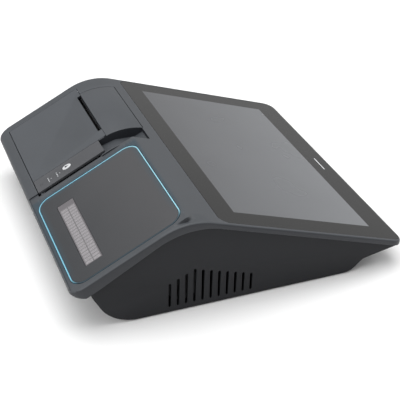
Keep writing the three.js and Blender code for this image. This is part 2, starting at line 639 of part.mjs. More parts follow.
// Paper bay
function paperBucket() {
  const tub = (grow, lift) => outline([
    [ROLL.y - BUCKET.radius - grow, 66 + lift],
    [ROLL.y - BUCKET.radius - grow, BUCKET.z - BUCKET.radius - grow, BUCKET.radius + grow - 0.1],
    [ROLL.y + BUCKET.radius + grow, BUCKET.z - BUCKET.radius - grow, BUCKET.radius + grow - 0.1],
    [ROLL.y + BUCKET.radius + grow, 44 + lift],
  ], 20);
  return prismX(tub(BUCKET.wall, 0), BUCKET.near - BUCKET.wall, BUCKET.far + BUCKET.wall)
    .subtract(prismX(tub(0, 20), BUCKET.near, BUCKET.far));
}
part(chassis, 'paper_bucket', paperBucket(), 'inner');
part(chassis, 'paper_roll', rodX(ROLL.radius, ROLL.near, ROLL.far, ROLL.y, ROLL.z, 28)
  .subtract(rodX(ROLL.core + GAP, 40, 130, ROLL.y, ROLL.z, 16)), 'paper');
part(chassis, 'roll_core', rodX(ROLL.core, ROLL.near, ROLL.far, ROLL.y, ROLL.z, 16)
  .subtract(rodX(ROLL.core - 1, 40, 130, ROLL.y, ROLL.z, 16)), 'card');

// ---------------------------------------------------------------------------------------------
// Printer lid, with the control strip and the platen on it

function printerLid() {
  const { near, far, low, high, thick, skirt } = LID;
  const plate = block(-far, -near, low, high + 1, -thick, 0)
    .subtract(block(-SLOT.far, -SLOT.near, SLOT.low, high + 2, -thick - 1, 1))
    .subtract(toRear(block(near - 1, far + 1, 200, coverBack + GAP + 0.1, 60, 100)));
  const base = block(-near - 1, -STRIP.near - 0.8, low, STRIP.high - 8, -thick - 3, -thick - 1.6);
  const sides = block(-far, -far + 1.8, low + 2.4, high - 4, -skirt, -thick + 0.5)
    .add(block(-near - 1.8, -near, low + 2.4, high - 4, -skirt, -thick + 0.5));
  const barrel = toRear(rodX(HINGE.barrel, STRIP.near, far, hingeAt.y, hingeAt.z, 14))
    .subtract(block(-near - GAP, 0, 0, 40, -thick - GAP, 4));
  const bores = toRear(rodX(HINGE.pin + GAP, 0, STRIP.near + 6, hingeAt.y, hingeAt.z, 12)
    .add(rodX(HINGE.pin + GAP, far - 6, 150, hingeAt.y, hingeAt.z, 12)));
  const rib = block(-far, -near, low, HINGE.s, -4.6, -1);
  return plate.add(base).add(sides).add(barrel).add(rib).subtract(bores);
}

part(rear, 'printer_lid', printerLid(), 'shell');

function controlStrip() {
  const { near, far, high } = STRIP;
  let strip = block(-far, -near, LID.low, high, -LID.thick, 0);
  const button = new THREE.Vector2(-BUTTON.x, BUTTON.s);
  const hole = circle(1, 24).map((p) => new THREE.Vector2(
    p.x * (BUTTON.wide / 2 + GAP), p.y * (BUTTON.long / 2 + GAP)).add(button));
  strip = strip.subtract(prismZ(hole, -6, 2));
  for (const s of LENSES) strip = strip.subtract(block(-20.9, -17.1, s - 0.9, s + 0.9, -6, 2));
  return strip;
}
part(rear, 'control_strip', controlStrip(), 'shell');

LENSES.forEach((s, i) => {
  part(rear, i === 0 ? 'paper_light' : 'error_light',
    block(-20.6, -17.4, s - 0.6, s + 0.6, -LID.thick, -0.02), 'lens');
});

function feedButton() {
  const oval = (grow) => circle(1, 24).map((p) => new THREE.Vector2(
    p.x * (BUTTON.wide / 2 + grow) - BUTTON.x, p.y * (BUTTON.long / 2 + grow) + BUTTON.s));
  return prismZ(oval(0), -2.9, 0.5);
}
part(rear, 'feed_button', feedButton(), 'lens');

const hingePin = (x0, x1) => rodX(HINGE.pin, x0, x1, hingeAt.y, hingeAt.z, 12);
part(chassis, 'hinge_pin_left', hingePin(STRIP.near - 4.6, STRIP.near + 5), 'steel');
part(chassis, 'hinge_pin_right', hingePin(LID.far - 5, LID.far + 4.6), 'steel');

function platenBracket() {
  const arm = (x) => prismX(outline([
    [platenAt.y + 10, rearPoint(PLATEN.s - 13.8, -LID.thick - GAP).z - 0.4],
    [platenAt.y + 3.4, platenAt.z - 3, 1.5],
    [platenAt.y - 3.4, platenAt.z - 3, 1.5],
    [platenAt.y - 3.2, rearPoint(PLATEN.s + 6.2, 0).z - 4.6],
    [platenAt.y, rearPoint(PLATEN.s + 6.2, 0).z - 4.4],
  ]), x, x + 1.2);
  const top = -LID.thick - GAP;
  const bar = toChassis(block(-124.4, -43.2, 62, 68, top - 3, top), rearMatrix);
  const legs = [43.2, 123.2].map((x) => toChassis(
    block(-x - 1.2, -x, 62, 82, top - 3.4, top), rearMatrix));
  return bar.add(legs[0]).add(legs[1]).add(arm(43.2)).add(arm(123.2))
    .subtract(rodX(PLATEN.shaft + GAP, 40, 130, platenAt.y, platenAt.z, 12));
}
part(chassis, 'platen_bracket', platenBracket(), 'steel');

part(chassis, 'platen_roller', rodX(PLATEN.radius, 45, 122.5, platenAt.y, platenAt.z, 24)
  .subtract(rodX(PLATEN.shaft + GAP, 40, 130, platenAt.y, platenAt.z, 12)), 'rubber');
part(chassis, 'platen_shaft', rodX(PLATEN.shaft, 36.6, 128, platenAt.y, platenAt.z, 12), 'steel');
part(chassis, 'platen_gear', gear(
  GEARS.platen, towardIdler, platenAt.y, platenAt.z, PLATEN.shaft + GAP), 'gear');

export default terminal;
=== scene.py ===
"""Looks of a desktop payment and point-of-sale terminal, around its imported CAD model.

Metres in the scene. The builders below work in millimetres, in three frames:
  side    x across, y back from the front edge, z up from the table
  screen  x across, y up the screen, z out of it
  rear    x towards the customer's right, y up the rear slope, z out of it
"""

import math

import bmesh
import bpy
from mathutils import Matrix, Vector


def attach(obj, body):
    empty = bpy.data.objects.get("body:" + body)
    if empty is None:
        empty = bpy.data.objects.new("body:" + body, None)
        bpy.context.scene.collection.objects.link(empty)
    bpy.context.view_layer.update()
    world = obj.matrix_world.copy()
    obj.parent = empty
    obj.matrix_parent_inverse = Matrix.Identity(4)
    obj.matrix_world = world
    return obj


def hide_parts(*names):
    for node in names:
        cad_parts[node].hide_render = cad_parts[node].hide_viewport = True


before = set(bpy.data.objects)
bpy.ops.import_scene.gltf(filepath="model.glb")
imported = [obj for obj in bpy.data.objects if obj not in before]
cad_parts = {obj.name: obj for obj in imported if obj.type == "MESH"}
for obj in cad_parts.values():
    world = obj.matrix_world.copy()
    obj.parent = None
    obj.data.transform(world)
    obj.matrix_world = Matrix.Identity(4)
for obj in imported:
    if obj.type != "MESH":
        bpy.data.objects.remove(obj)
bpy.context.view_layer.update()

# ----------------------------------------------------------------------------------------------
# Driving dimensions, millimetres

MM = 0.001
GAP = 0.3
HALF = 151.5                    # half the width
DEPTH = 314.6                   # front edge to rear edge before they are rounded
FRONT_TO_ORIGIN = 157.155
TILT = math.radians(18.2)       # screen plane
SLOPE = math.radians(27.2)      # rear plane
FRONT_Z = 26.2
RIDGE_Y = 213.6
RIDGE_Z = FRONT_Z + RIDGE_Y * math.tan(TILT)
REAR_Z = RIDGE_Z - (DEPTH - RIDGE_Y) * math.tan(SLOPE)
RIDGE_R = 59.0
PLAN_R = 12.0
EDGE_R = 1.9                    # rounding of the shell's outer edge
DECK_N = -1.2                   # the contactless panel's deck lies below the rear plane
RING = {"right": 4.8, "left": 142.5, "low": 4.7, "high": 112.6, "radius": 13.0}
GLASS = {"half": 148.6, "low": 0.9, "high": 191.7, "radius": 9.7}
LCD = {"half": 128.15, "low": 26.7, "high": 170.9}
LID = {"near": 31.0, "far": 140.3, "low": 11.5, "high": 94.3}
STRIP = {"near": 9.6, "far": 30.7, "high": 85.5}
COVER = {"near": 30.0, "far": 127.0, "front": 193.6, "back_s": 94.7, "thick": 2.4}
SCOOP = {"near": 5.2, "far": 29.4, "front": 194.2, "back": 241.2}
DISPLAY = {"right": 27.0, "left": 126.0, "low": 20.8, "high": 38.0}
KEY_AT = (-21.6, 46.7)          # middle of the feed key, in the rear frame
LAMPS = {"paper_light": 25.7, "error_light": 35.2}
HINGE = (15.5, -3.8)            # axis of the lid, up the slope and out of it
SOLVER = "MANIFOLD"
ROLL = {"y": 262.0, "z": 31.4, "radius": 22.0, "core": 6.5, "near": 44.3, "far": 123.3}

SIDE = Matrix.Translation((0, -FRONT_TO_ORIGIN, 0))
SCREEN = SIDE @ Matrix.Translation((0, 0, FRONT_Z)) @ Matrix.Rotation(TILT, 4, "X")
REAR = SIDE @ Matrix.Translation((0, DEPTH, REAR_Z)) @ Matrix.Rotation(math.pi, 4, "Z") \
    @ Matrix.Rotation(SLOPE, 4, "X")


def rear_side(s, n):
    """A point of the rear frame as (y, z) of the side frame."""
    p = SIDE.inverted() @ REAR @ Vector((0, s, n))
    return p.y, p.z


# ----------------------------------------------------------------------------------------------
# Outlines and solids

def rounded(corners, step=6.0):
    """A closed outline from corners (a, b, radius), each radius drawn as an arc."""
    points = []
    for i, corner in enumerate(corners):
        at = Vector(corner[:2])
        radius = corner[2] if len(corner) > 2 else 0
        if radius == 0:
            points.append(at)
            continue
        back = (Vector(corners[i - 1][:2]) - at).normalized()
        on = (Vector(corners[(i + 1) % len(corners)][:2]) - at).normalized()
        half = back.angle(on) / 2
        centre = at + (back + on).normalized() * (radius / math.sin(half))
        start = at + back * (radius / math.tan(half)) - centre
        end = at + on * (radius / math.tan(half)) - centre
        turn = start.angle_signed(end)
        steps = max(2, math.ceil(math.degrees(abs(turn)) / step - 1e-4))
        for k in range(steps + 1):
            spin = Matrix.Rotation(-turn * k / steps, 2)
            points.append(centre + spin @ start)
    return points


def box_outline(left, low, right, high, radius=0.0, step=7.5):
    if radius <= 0:
        return [Vector(p) for p in ((left, low), (right, low), (right, high), (left, high))]
    return rounded([(left, low, radius), (right, low, radius),
                    (right, high, radius), (left, high, radius)], step)


def oval(x, y, rx, ry, sides=40):
    turn = 2 * math.pi / sides
    return [Vector((x + rx * math.cos(k * turn), y + ry * math.sin(k * turn)))
            for k in range(sides)]


def loft(bm, rings):
    """Joins closed rings of equal length into one closed solid."""
    rows = [[bm.verts.new(p) for p in ring] for ring in rings]
    count = len(rows[0])
    bm.faces.new(list(reversed(rows[0])))
    for a, b in zip(rows, rows[1:]):
        for k in range(count):
            j = (k + 1) % count
            bm.faces.new((a[k], a[j], b[j], b[k]))
    bm.faces.new(rows[-1])


def new_mesh(name, build, matrix):
    """An object in the row frame from a function that fills a bmesh, in millimetres of a frame."""
    bm = bmesh.new()
    build(bm)
    bm.transform(Matrix.Scale(MM, 4) @ matrix)
    bmesh.ops.recalc_face_normals(bm, faces=bm.faces)
    mesh = bpy.data.meshes.new(name)
    bm.to_mesh(mesh)
    bm.free()
    obj = bpy.data.objects.new(name, mesh)
    bpy.context.scene.collection.objects.link(obj)
    return obj


def prism(axis, outline, low, high):
    """A function that builds an outline drawn out along an axis of its frame."""
    def place(p, t):
        if axis == "x":
            return Vector((t, p[0], p[1]))
        if axis == "y":
            return Vector((p[0], t, p[1]))
        return Vector((p[0], p[1], t))
    return lambda bm: loft(bm, [[place(p, low) for p in outline], [place(p, high) for p in outline]])


def stack(rings):
    """A function that builds a solid through outlines at heights, [(outline, z), ...]."""
    return lambda bm: loft(bm, [[Vector((p[0], p[1], z)) for p in ring] for ring, z in rings])


def flared(outline_at, low, high, lip=0.45, steps=4):
    """A pocket cutter whose wall opens out at the surface, so that the pocket's edge is rounded.

    outline_at(grow) gives the outline, and high is the surface that the pocket is cut into."""
    rings = [(outline_at(0), low)]
    for k in range(steps + 1):
        a = math.pi / 2 * k / steps
        rings.append((outline_at(lip * (1 - math.cos(a))), high - lip + lip * math.sin(a)))
    rings.append((outline_at(lip + 0.02), high + 6))
    return stack(rings)


def boolean(obj, cutter, how="DIFFERENCE"):
    """Cuts, joins or crosses obj with a helper object, and removes the helper."""
    mod = obj.modifiers.new("cut", "BOOLEAN")
    mod.operation = how
    mod.solver = SOLVER
    mod.object = cutter
    apply_modifiers(obj)
    bpy.data.objects.remove(cutter)
    return obj


def apply_modifiers(obj):
    bpy.context.view_layer.update()
    done = obj.evaluated_get(bpy.context.evaluated_depsgraph_get())
    mesh = bpy.data.meshes.new_from_object(done)
    obj.modifiers.clear()
    old = obj.data
    obj.data = mesh
    bpy.data.meshes.remove(old)
    mesh.name = obj.name


def smooth(obj, angle=32.0):
    """Smooth shading, with edges sharper than the angle kept sharp."""
    bm = bmesh.new()
    bm.from_mesh(obj.data)
    limit = math.radians(angle)
    for face in bm.faces:
        face.smooth = True
    for edge in bm.edges:
        edge.smooth = len(edge.link_faces) == 2 and edge.calc_face_angle(0) < limit
    bm.to_mesh(obj.data)
    bm.free()


def bevel(obj, width, segments=3, angle=32.0):
    """Rounds every edge sharper than the angle."""
    bm = bmesh.new()
    bm.from_mesh(obj.data)
    bmesh.ops.remove_doubles(bm, verts=bm.verts, dist=2e-6)
    bmesh.ops.dissolve_limit(
        bm, angle_limit=math.radians(0.6), verts=bm.verts, edges=bm.edges)
    bm.to_mesh(obj.data)
    bm.free()
    mod = obj.modifiers.new("round", "BEVEL")
    mod.width = width * MM
    mod.segments = segments
    mod.limit_method = "ANGLE"
    mod.angle_limit = math.radians(angle)
    mod.use_clamp_overlap = True
    mod.miter_outer = "MITER_ARC"
    apply_modifiers(obj)


def settle(obj, body, *replaced, slot=None, angle=32.0, weighted=True):
    """Last steps of a piece: shading, its body, and the CAD nodes that it stands for."""
    smooth(obj, angle)
    if weighted:
        mod = obj.modifiers.new("normals", "WEIGHTED_NORMAL")
        mod.keep_sharp = True
        mod.weight = 80
        apply_modifiers(obj)
    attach(obj, body)
    if replaced:
        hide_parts(*replaced)
    return obj


def paint(obj, material):
    obj.data.materials.clear()
    obj.data.materials.append(material)
    return obj


def cad_copy(node, name, width, segments=2, angle=30.0):
    """A copy of a CAD node with its edges rounded."""
    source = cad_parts[node]
    obj = bpy.data.objects.new(name, source.data.copy())
    obj.data.materials.clear()
    bpy.context.scene.collection.objects.link(obj)
    bevel(obj, width, segments, angle)
    return obj


# ----------------------------------------------------------------------------------------------
# Materials

def rgb(*values):
    """A linear colour from 8-bit display values."""
    return tuple((v / 255 / 12.92) if v <= 10 else ((v / 255 + 0.055) / 1.055) ** 2.4
                 for v in values) + (1.0,)


class Nodes:
    """Short ways to add and join the nodes of one material."""

    def __init__(self, name):
        self.material = bpy.data.materials.new(name)
        self.material.use_nodes = True
        self.tree = self.material.node_tree
        self.shader = self.tree.nodes["Principled BSDF"]
        self.place = self.tree.nodes.new("ShaderNodeTexCoord").outputs["Object"]

    def add(self, kind, inputs=None, **settings):
        node = self.tree.nodes.new(kind)
        for key, value in settings.items():
            setattr(node, key, value)
        for key, value in (inputs or {}).items():
            self.join(value, node.inputs[key])
        return node

    def join(self, value, socket):
        if isinstance(value, bpy.types.NodeSocket):
            self.tree.links.new(value, socket)
        else:
            socket.default_value = value

    def math(self, operation, *values, clamp=False):
        node = self.add("ShaderNodeMath", operation=operation, use_clamp=clamp)
        for k, value in enumerate(values):
            self.join(value, node.inputs[k])
        return node.outputs[0]

    def noise(self, scale, detail=2.0, vector=None):
        return self.add("ShaderNodeTexNoise", {
            "Vector": vector or self.place, "Scale": scale, "Detail": detail}).outputs["Fac"]

    def ramp(self, value, low, high, to_low=0.0, to_high=1.0, kind="LINEAR"):
        node = self.add("ShaderNodeMapRange", {
            "Value": value, "From Min": low, "From Max": high,
            "To Min": to_low, "To Max": to_high}, interpolation_type=kind)
        return node.outputs["Result"]

    def mix(self, share, a, b):
        node = self.add("ShaderNodeMix", data_type="RGBA")
        self.join(share, node.inputs["Factor"])
        self.join(a, node.inputs["A"])
        self.join(b, node.inputs["B"])
        return node.outputs["Result"]

    def along(self, matrix, axis):
        """Millimetres along an axis of one of the frames."""
        origin = matrix.translation * MM
        way = matrix.to_3x3() @ Vector([float(k == axis) for k in range(3)])
        moved = self.add("ShaderNodeVectorMath", {0: self.place, 1: tuple(origin)},
                         operation="SUBTRACT").outputs["Vector"]
        dot = self.add("ShaderNodeVectorMath", {0: moved, 1: tuple(way / MM)},
                       operation="DOT_PRODUCT").outputs["Value"]
        return dot

    def between(self, value, low, high, soft):
        """1 inside a stretch, 0 outside, with soft ends."""
        up = self.ramp(value, low - soft, low + soft)
        down = self.ramp(value, high - soft, high + soft, 1.0, 0.0)
        return self.math("MULTIPLY", up, down)

    def bump(self, height, strength, distance):
        return self.add("ShaderNodeBump", {
            "Height": height, "Strength": strength, "Distance": distance}).outputs["Normal"]

    def set(self, **sockets):
        for key, value in sockets.items():
            self.join(value, self.shader.inputs[key.replace("_", " ")])
        return self.material


def shell_painted_light(n, base):
    """Painted shade that darkens the shell's upright sides, and painted light: the bluish light that the
    lit ring sheds on the deck beside it.
    """
    # Painted shade: faces that stand upright, the shell's sides, are mixed towards a dark blue-grey.
    upright = n.add("ShaderNodeSeparateXYZ", {"Vector": n.add("ShaderNodeNewGeometry").outputs["Normal"]})
    rim = n.ramp(n.math("ABSOLUTE", upright.outputs["Z"]), 0.25, 0.75, 0.75, 0.0, "SMOOTHSTEP")
    base = n.mix(rim, base, rgb(18, 20, 27))
    # Painted light: the lit ring's bluish light on the deck round the ring, fading out beside the ring's
    # dark side.
    x, y = n.along(REAR, 0), n.along(REAR, 1)
    middle_x, middle_y = (RING["left"] + RING["right"]) / 2, (RING["low"] + RING["high"]) / 2
    beside = n.math("SUBTRACT", n.math("ABSOLUTE", n.math("SUBTRACT", x, middle_x)),
                    (RING["left"] - RING["right"]) / 2)
    along = n.math("SUBTRACT", n.math("ABSOLUTE", n.math("SUBTRACT", y, middle_y)),
                   (RING["high"] - RING["low"]) / 2)
    glow = n.ramp(n.math("MAXIMUM", beside, along), 0.0, 7.5, 0.6, 0.0, "SMOOTHSTEP")
    lit = n.ramp(x, 112.0, 140.0, 1.0, 0.0)
    above = n.ramp(n.along(REAR, 2), -4.0, -2.5)
    return n.mix(n.math("MULTIPLY", n.math("MULTIPLY", glow, lit), above), base, rgb(34, 58, 70))


def moulded(name, colour, rough, grain=1500.0, depth=0.00004, fleck=0.06, specular=0.45, painted_light=None):
    """Spark-eroded moulded plastic: fine grain, faint flow marks and a lighter colour on sharp outer
    edges.
    """
    n = Nodes(name)
    fine = n.noise(grain, 3.0)
    pits = n.add("ShaderNodeTexVoronoi", {"Vector": n.place, "Scale": grain * 0.62},
                 feature="SMOOTH_F1").outputs["Distance"]
    cloud = n.noise(34.0, 3.0)
    lighter = tuple(min(1.0, c * (1 + 2.2 * fleck)) for c in colour[:3]) + (1.0,)
    darker = tuple(c * (1 - 1.6 * fleck) for c in colour[:3]) + (1.0,)
    tone = n.math("ADD", n.math("MULTIPLY", fine, 0.55), n.math("MULTIPLY", cloud, 0.45))
    base = n.mix(n.ramp(tone, 0.34, 0.66), darker, lighter)
    # A lighter colour on sharp outer edges.
    edge = n.add("ShaderNodeNewGeometry").outputs["Pointiness"]
    edge_lightening = n.ramp(edge, 0.515, 0.56, 0.0, 0.16)
    base = n.mix(edge_lightening, base, tuple(min(1.0, c * 2.1) for c in colour[:3]) + (1.0,))
    gloss = n.math("ADD", n.ramp(cloud, 0.3, 0.7, rough - 0.035, rough + 0.035),
                   n.ramp(fine, 0.3, 0.7, -0.03, 0.03))
    skin = n.bump(n.math("ADD", n.math("MULTIPLY", fine, 0.6), n.math("MULTIPLY", pits, 0.5)),
                  0.55, depth)
    # Painted light and shade laid over the colour, where a material is given it.
    if painted_light:
        base = painted_light(n, base)
    return n.set(Base_Color=base, Roughness=gloss, Normal=skin, Specular_IOR_Level=specular)


def metal(name, colour, rough):
    """Metal with fine drawing marks."""
    n = Nodes(name)
    stretch = n.add("ShaderNodeMapping", {"Vector": n.place, "Scale": (60.0, 2600.0, 2600.0)})
    lines = n.noise(1.0, 3.0, stretch.outputs["Vector"])
    cloud = n.noise(60.0, 2.0)
    base = n.mix(n.ramp(cloud, 0.35, 0.65), tuple(c * 0.9 for c in colour[:3]) + (1.0,), colour)
    n.set(Base_Color=base, Roughness=n.ramp(lines, 0.3, 0.7, rough - 0.06, rough + 0.08),
          Metallic=1.0, Normal=n.bump(lines, 0.25, 0.00001))
    return n.material


# The shell's plastic, with painted shade on its sides and the ring's light painted on the deck.
SHELL = moulded("shell_plastic", rgb(65, 68, 72), 0.46, specular=0.4, painted_light=shell_painted_light)
# Painted shade: the housing's plastic is given a darker colour than the shell's, for the shade that it
# stands in.
SHADED_HOUSING = moulded("housing_plastic_painted_shade", rgb(27, 28, 31), 0.5, grain=1300.0, specular=0.22)
INNER = moulded("inner_plastic", rgb(30, 31, 33), 0.5, grain=1800.0)
ACETAL = moulded("gear_plastic", rgb(222, 216, 200), 0.42, fleck=0.02, depth=0.00001)
CAP = moulded("key_plastic", rgb(196, 197, 199), 0.32, fleck=0.015, depth=0.00001)
KEY = moulded("power_key_plastic", rgb(58, 60, 63), 0.35, fleck=0.02)
STRIP_PLASTIC = moulded("control_strip_plastic", rgb(66, 67, 70), 0.4)
STEEL = metal("plated_steel", rgb(138, 140, 144), 0.42)
ALUMINIUM = metal("cast_aluminium", rgb(190, 192, 195), 0.38)


def rubber_material():
    n = Nodes("moulded_rubber")
    dust = n.noise(420.0, 4.0)
    skin = n.noise(2400.0, 2.0)
    base = n.mix(n.ramp(dust, 0.45, 0.8), rgb(24, 24, 25), rgb(58, 57, 56))
    return n.set(Base_Color=base, Roughness=n.ramp(dust, 0.3, 0.7, 0.72, 0.9),
                 Normal=n.bump(skin, 0.5, 0.00004), Specular_IOR_Level=0.3)


def board_material():
    """Green solder mask over copper tracks, with pads."""
    n = Nodes("circuit_board")
    fine = n.add("ShaderNodeTexBrick", {
        "Vector": n.place, "Scale": 160.0, "Mortar Size": 0.012,
        "Color1": (1, 1, 1, 1), "Color2": (0.8, 0.8, 0.8, 1), "Mortar": (0, 0, 0, 1)})
    cells = n.add("ShaderNodeTexVoronoi", {"Vector": n.place, "Scale": 190.0},
                  feature="F1", distance="CHEBYCHEV").outputs["Distance"]
    pad = n.ramp(cells, 0.09, 0.11, 1.0, 0.0)
    mask = n.mix(fine.outputs["Color"], rgb(13, 66, 40), rgb(20, 92, 54))
    base = n.mix(pad, mask, rgb(206, 176, 96))
    return n.set(Base_Color=base, Roughness=n.ramp(pad, 0, 1, 0.4, 0.3),
                 Metallic=n.math("MULTIPLY", pad, 0.9), Normal=n.bump(pad, 0.4, 0.00004))


def paper_material():
    n = Nodes("thermal_paper")
    x = n.add("ShaderNodeSeparateXYZ", {"Vector": n.place}).outputs["X"]
    fibre = n.noise(900.0, 4.0)
    layers = n.noise(5200.0, 1.0)
    side = n.math("ADD", n.ramp(x, 0.0445, 0.0447, 1.0, 0.0), n.ramp(x, 0.1229, 0.1231, 0.0, 1.0),
                  clamp=True)
    base = n.mix(n.ramp(fibre, 0.35, 0.7), rgb(236, 234, 228), rgb(246, 245, 241))
    base = n.mix(n.math("MULTIPLY", side, n.ramp(layers, 0.4, 0.6, 0.0, 0.35)), base, rgb(188, 184, 174))
    return n.set(Base_Color=base, Roughness=0.62, Normal=n.bump(fibre, 0.2, 0.00003))


def card_material():
    n = Nodes("card_tube")
    fibre = n.noise(700.0, 5.0)
    base = n.mix(n.ramp(fibre, 0.3, 0.7), rgb(146, 112, 76), rgb(178, 144, 102))
    return n.set(Base_Color=base, Roughness=0.85, Normal=n.bump(fibre, 0.4, 0.00005))


# Painted reflection on the display's active area: its lighter and its darker end.
SCREEN_NEAR_REFLECTION = rgb(116, 118, 121)
SCREEN_FAR_REFLECTION = rgb(80, 81, 84)
BORDER_LOW = rgb(22, 22, 22)
BORDER_HIGH = rgb(27, 27, 26)


def screen_material():
    """Cover glass with a printed border round the display's active area, whose grey is a painted
    reflection.
    """
    n = Nodes("cover_glass")
    x, y = n.along(SCREEN, 0), n.along(SCREEN, 1)
    inside = n.math("MULTIPLY", n.between(x, -LCD["half"], LCD["half"], 0.15),
                    n.between(y, LCD["low"], LCD["high"], 0.15))
    haze = n.noise(9.0, 2.0)
    # Painted reflection: lighter towards the screen's lower edge and its -x side, darker away from them.
    depth = n.ramp(y, LCD["low"], LCD["high"], 0.0, 1.0)
    across = n.ramp(x, -LCD["half"], LCD["half"], 0.0, 1.0)
    tone = n.math("ADD", n.math("MULTIPLY", depth, 0.75), n.math("MULTIPLY", across, 0.25))
    tone = n.math("ADD", tone, n.ramp(haze, 0.3, 0.7, -0.04, 0.04))
    panel = n.mix(tone, SCREEN_NEAR_REFLECTION, SCREEN_FAR_REFLECTION)
    border = n.mix(n.ramp(haze, 0.3, 0.7), BORDER_LOW, BORDER_HIGH)
    smear = n.noise(22.0, 2.0)
    base = n.mix(inside, border, panel)
    rough = n.math("ADD", n.ramp(smear, 0.35, 0.75, 0.1, 0.2), n.math("MULTIPLY", inside, 0.1))
    return n.set(Base_Color=base, Roughness=rough, Specular_IOR_Level=0.4,
                 Normal=n.bump(n.noise(2200.0, 2.0), 0.05, 0.00001))



def panel_material():
    """Smoked plastic over the reader's aerial, with painted shade that makes it a little darker towards
    the customer, and the lit ring's bluish light painted on it along the ring's lit sides.
    """
    n = Nodes("contactless_panel_plastic")
    y = n.along(REAR, 1)
    x = n.along(REAR, 0)
    grain = n.noise(1700.0, 3.0)
    cloud = n.noise(16.0, 2.0)
    # Painted shade: darker towards the customer, lighter towards the ridge.
    tone = n.math("ADD", n.ramp(y, 10, 100, 0.0, 0.85), n.ramp(cloud, 0.3, 0.7, -0.06, 0.1))
    base = n.mix(tone, rgb(44, 46, 49), rgb(66, 66, 68))
    base = n.mix(n.ramp(grain, 0.35, 0.7, 0.0, 0.12), base, rgb(96, 97, 100))
    # Painted light: the lit ring's bluish light on the panel beside it, fading out towards the ring's
    # dark side.
    edge = n.math("MULTIPLY", n.ramp(x, 5.4, 11.5), n.between(y, 7.6, 109.4, 3.2))
    near = n.ramp(x, 110.0, 136.0, 1.0, 0.0)
    base = n.mix(n.math("MULTIPLY", n.ramp(edge, 0.0, 1.0, 0.45, 0.0), near), base, rgb(44, 72, 84))
    return n.set(Base_Color=base, Roughness=n.ramp(grain, 0.3, 0.7, 0.3, 0.38),
                 Normal=n.bump(grain, 0.25, 0.00002), Specular_IOR_Level=0.45)


def ring_material():
    """Light guide, lit along three sides. The side next to the terminal's edge is dark."""
    n = Nodes("lit_light_guide")
    x = n.along(REAR, 0)
    y = n.along(REAR, 1)
    lit = n.ramp(x, 128.0, 139.5, 1.0, 0.02, "SMOOTHSTEP")
    low = n.ramp(y, 6.0, 14.0, 1.0, 0.0)
    lit = n.math("MAXIMUM", lit, n.math("MULTIPLY", low, n.ramp(x, 128.0, 140.0, 1.0, 0.0)))
    high = n.ramp(y, 60.0, 112.0, 0.0, 1.0)
    ripple = n.noise(70.0, 1.0)
    glow = n.mix(high, rgb(88, 168, 200), rgb(170, 212, 222))
    strength = n.math("MULTIPLY", lit, n.ramp(ripple, 0.3, 0.7, 0.85, 1.15))
    n.set(Base_Color=n.mix(lit, rgb(40, 56, 66), rgb(120, 170, 186)), Roughness=0.3,
          Emission_Color=glow)
    n.set(Emission_Strength=n.math("MULTIPLY", strength, 0.3))
    return n.material


def readout_material():
    """Two rows of twenty character cells behind a clear window, lit except for the last cells."""
    n = Nodes("customer_display")
    x = n.along(REAR, 0)
    y = n.along(REAR, 1)
    lit = n.math("MULTIPLY", n.between(x, 35.6, 125.2, 0.3), n.between(y, 21.6, 37.2, 0.25))
    cell = n.math("FRACT", n.math("DIVIDE", n.math("SUBTRACT", x, 36.2), 4.45))
    dot_x = n.math("FRACT", n.math("DIVIDE", n.math("SUBTRACT", x, 36.2), 0.89))
    dot_y = n.math("FRACT", n.math("DIVIDE", y, 0.89))
    gap_x = n.between(cell, 0.1, 0.9, 0.03)
    gap_y = n.math("MULTIPLY", n.between(y, 22.4, 36.4, 0.2),
                   n.math("SUBTRACT", 1.0, n.between(y, 29.0, 29.8, 0.15)))
    dots = n.math("MULTIPLY", n.between(dot_x, 0.16, 0.84, 0.1), n.between(dot_y, 0.16, 0.84, 0.1))
    shape = n.math("MULTIPLY", n.math("MULTIPLY", gap_x, gap_y), dots)
    spots = n.add("ShaderNodeTexWhiteNoise", {"Vector": n.add("ShaderNodeVectorMath", {
        0: n.place, 1: (0.00089, 0.00089, 0.00089)}, operation="SNAP").outputs["Vector"]},
        noise_dimensions="3D").outputs["Value"]
    face = n.mix(n.math("MULTIPLY", shape, n.ramp(spots, 0.0, 1.0, 0.75, 1.0)),
                 rgb(104, 101, 104), rgb(172, 169, 171))
    back = n.math("SUBTRACT", 1.0, n.between(y, 29.1, 29.7, 0.12))
    face = n.mix(back, rgb(88, 87, 89), face)
    base = n.mix(lit, rgb(98, 95, 98), face)
    return n.set(Base_Color=base, Roughness=0.34, Specular_IOR_Level=0.5,
                 Normal=n.bump(shape, 0.25, 0.00003))


def lens_material(name, darker, lighter, glow):
    """Milky light guide."""
    n = Nodes(name)
    cloud = n.noise(900.0, 2.0)
    return n.set(Base_Color=n.mix(cloud, darker, lighter),
                 Roughness=0.3, Normal=n.bump(cloud, 0.1, 0.00002),
                 Emission_Color=rgb(225, 228, 232), Emission_Strength=glow)


def dark_print():
    n = Nodes("printed_mark")
    cloud = n.noise(1200.0, 2.0)
    return n.set(Base_Color=n.mix(cloud, rgb(52, 53, 56), rgb(66, 67, 70)), Roughness=0.5,
                 Normal=n.bump(cloud, 0.2, 0.00001))


def light_print():
    n = Nodes("printed_mark_light")
    cloud = n.noise(1200.0, 2.0)
    return n.set(Base_Color=n.mix(cloud, rgb(140, 142, 145), rgb(168, 170, 172)), Roughness=0.45,
                 Normal=n.bump(cloud, 0.2, 0.00001))


GLASS_FACE = screen_material()
PANEL = panel_material()
RING_LIGHT = ring_material()
READOUT = readout_material()
LENS = lens_material("status_lens", rgb(205, 207, 210), rgb(232, 233, 235), 0.12)
LAMP = lens_material("signal_lens", rgb(150, 152, 155), rgb(176, 178, 181), 0.04)
RUBBER = rubber_material()
BOARD = board_material()
PAPER = paper_material()
CARD = card_material()
DARK_PRINT = dark_print()
LIGHT_PRINT = light_print()


